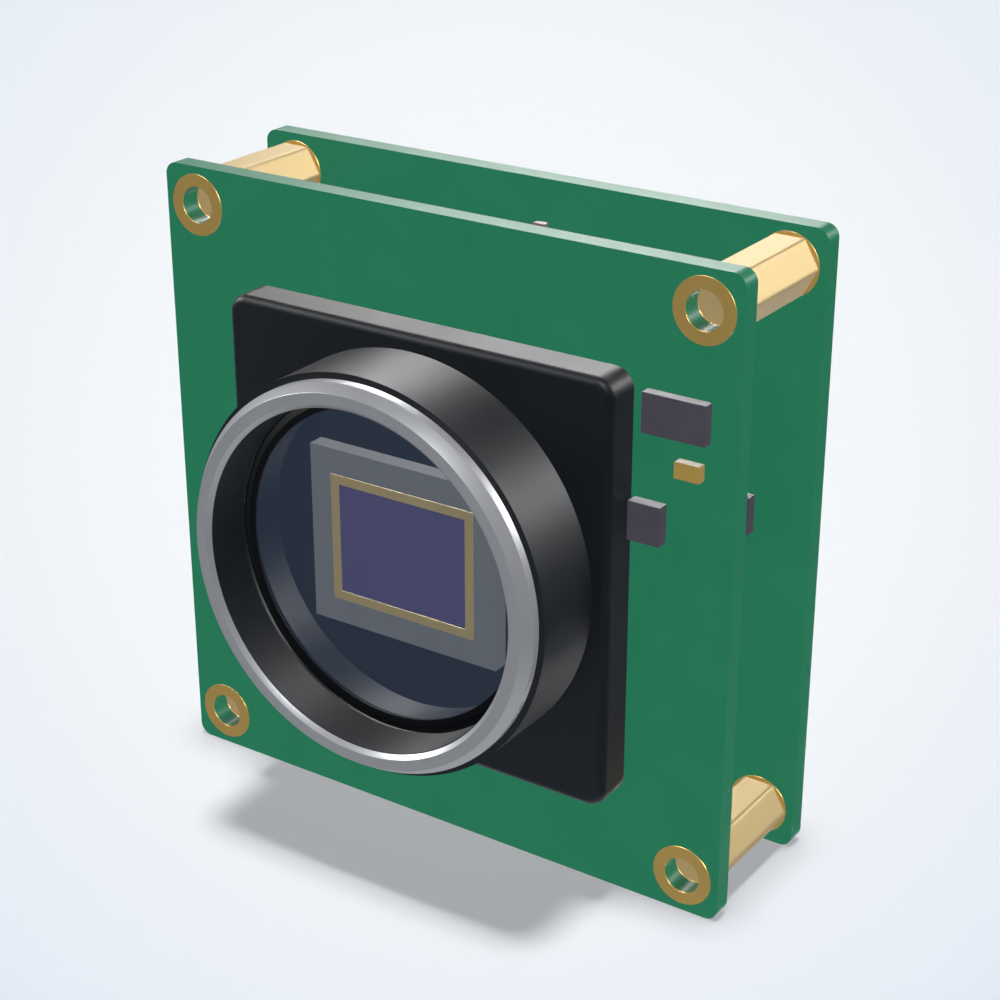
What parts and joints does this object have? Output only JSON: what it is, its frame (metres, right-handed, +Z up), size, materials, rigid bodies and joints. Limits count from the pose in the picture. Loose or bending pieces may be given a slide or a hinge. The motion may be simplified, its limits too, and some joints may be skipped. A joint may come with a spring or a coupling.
{
  "type": "camera module",
  "caption": "Square two-board camera module with a round lens mount over an image sensor, its boards held apart by hex posts.",
  "frame": {"origin": "middle of the four tapped mounting holes, on the back face of the rear board", "axes": "+Z up as the module stands on its boards' lower edges; -Y out of the lens mount, along the optical axis; +X to the right as seen from in front of the lens"},
  "size_m": [0.05, 0.0275, 0.05],
  "materials": {
    "solder_mask": "satin",
    "pad_gold": "satin",
    "post_gold": "satin",
    "mount_black": "satin",
    "ring_metal": "polished",
    "retainer_black": "matte",
    "filter_glass": "polished",
    "package_ceramic": "satin",
    "bond_gold": "satin",
    "sensor_silicon": "gloss",
    "carrier_green": "satin",
    "screw_steel": "satin",
    "chip_grey": "satin",
    "tantalum_yellow": "satin",
    "capacitor_brown": "satin",
    "chip_black": "matte",
    "connector_black": "satin",
    "contact_gold": "satin",
    "lead_tin": "satin",
    "lid_metal": "satin",
    "ferrite_grey": "matte",
    "resistor_black": "gloss",
    "shell_steel": "satin",
    "header_cream": "satin"
  },
  "bodies": {
    "root": {"front_board": "solder_mask", "front_board_pads": "pad_gold", "rear_board": "solder_mask", "rear_board_pads": "pad_gold", "standoff_upper_left": "post_gold", "standoff_upper_right": "post_gold", "standoff_lower_left": "post_gold", "standoff_lower_right": "post_gold", "lens_mount": "mount_black", "lens_ring": "ring_metal", "filter_glass": "filter_glass", "filter_retainer": "retainer_black", "sensor_package": "package_ceramic", "bond_frame": "bond_gold", "sensor_die": "sensor_silicon", "sensor_carrier": "carrier_green", "mount_screws": "screw_steel", "driver_chip": "chip_grey", "clock_chip": "chip_grey", "tantalum_capacitor": "tantalum_yellow", "bridge_chip": "chip_grey", "coupling_capacitor": "capacitor_brown", "plug_shell": "connector_black", "plug_pins": "contact_gold", "socket_shell": "connector_black", "socket_tails": "contact_gold", "image_processor": "chip_black", "memory_chip": "chip_black", "flash_chip": "chip_black", "flash_leads": "lead_tin", "oscillator": "lid_metal", "power_inductors": "ferrite_grey", "regulator_chips": "chip_black", "capacitor_bodies": "capacitor_brown", "capacitor_ends": "lead_tin", "resistor_bodies": "resistor_black", "resistor_ends": "lead_tin", "data_shell": "shell_steel", "data_tongue": "connector_black", "data_contacts": "contact_gold", "trigger_shell": "header_cream", "trigger_pins": "contact_gold"}
  },
  "joints": []
}
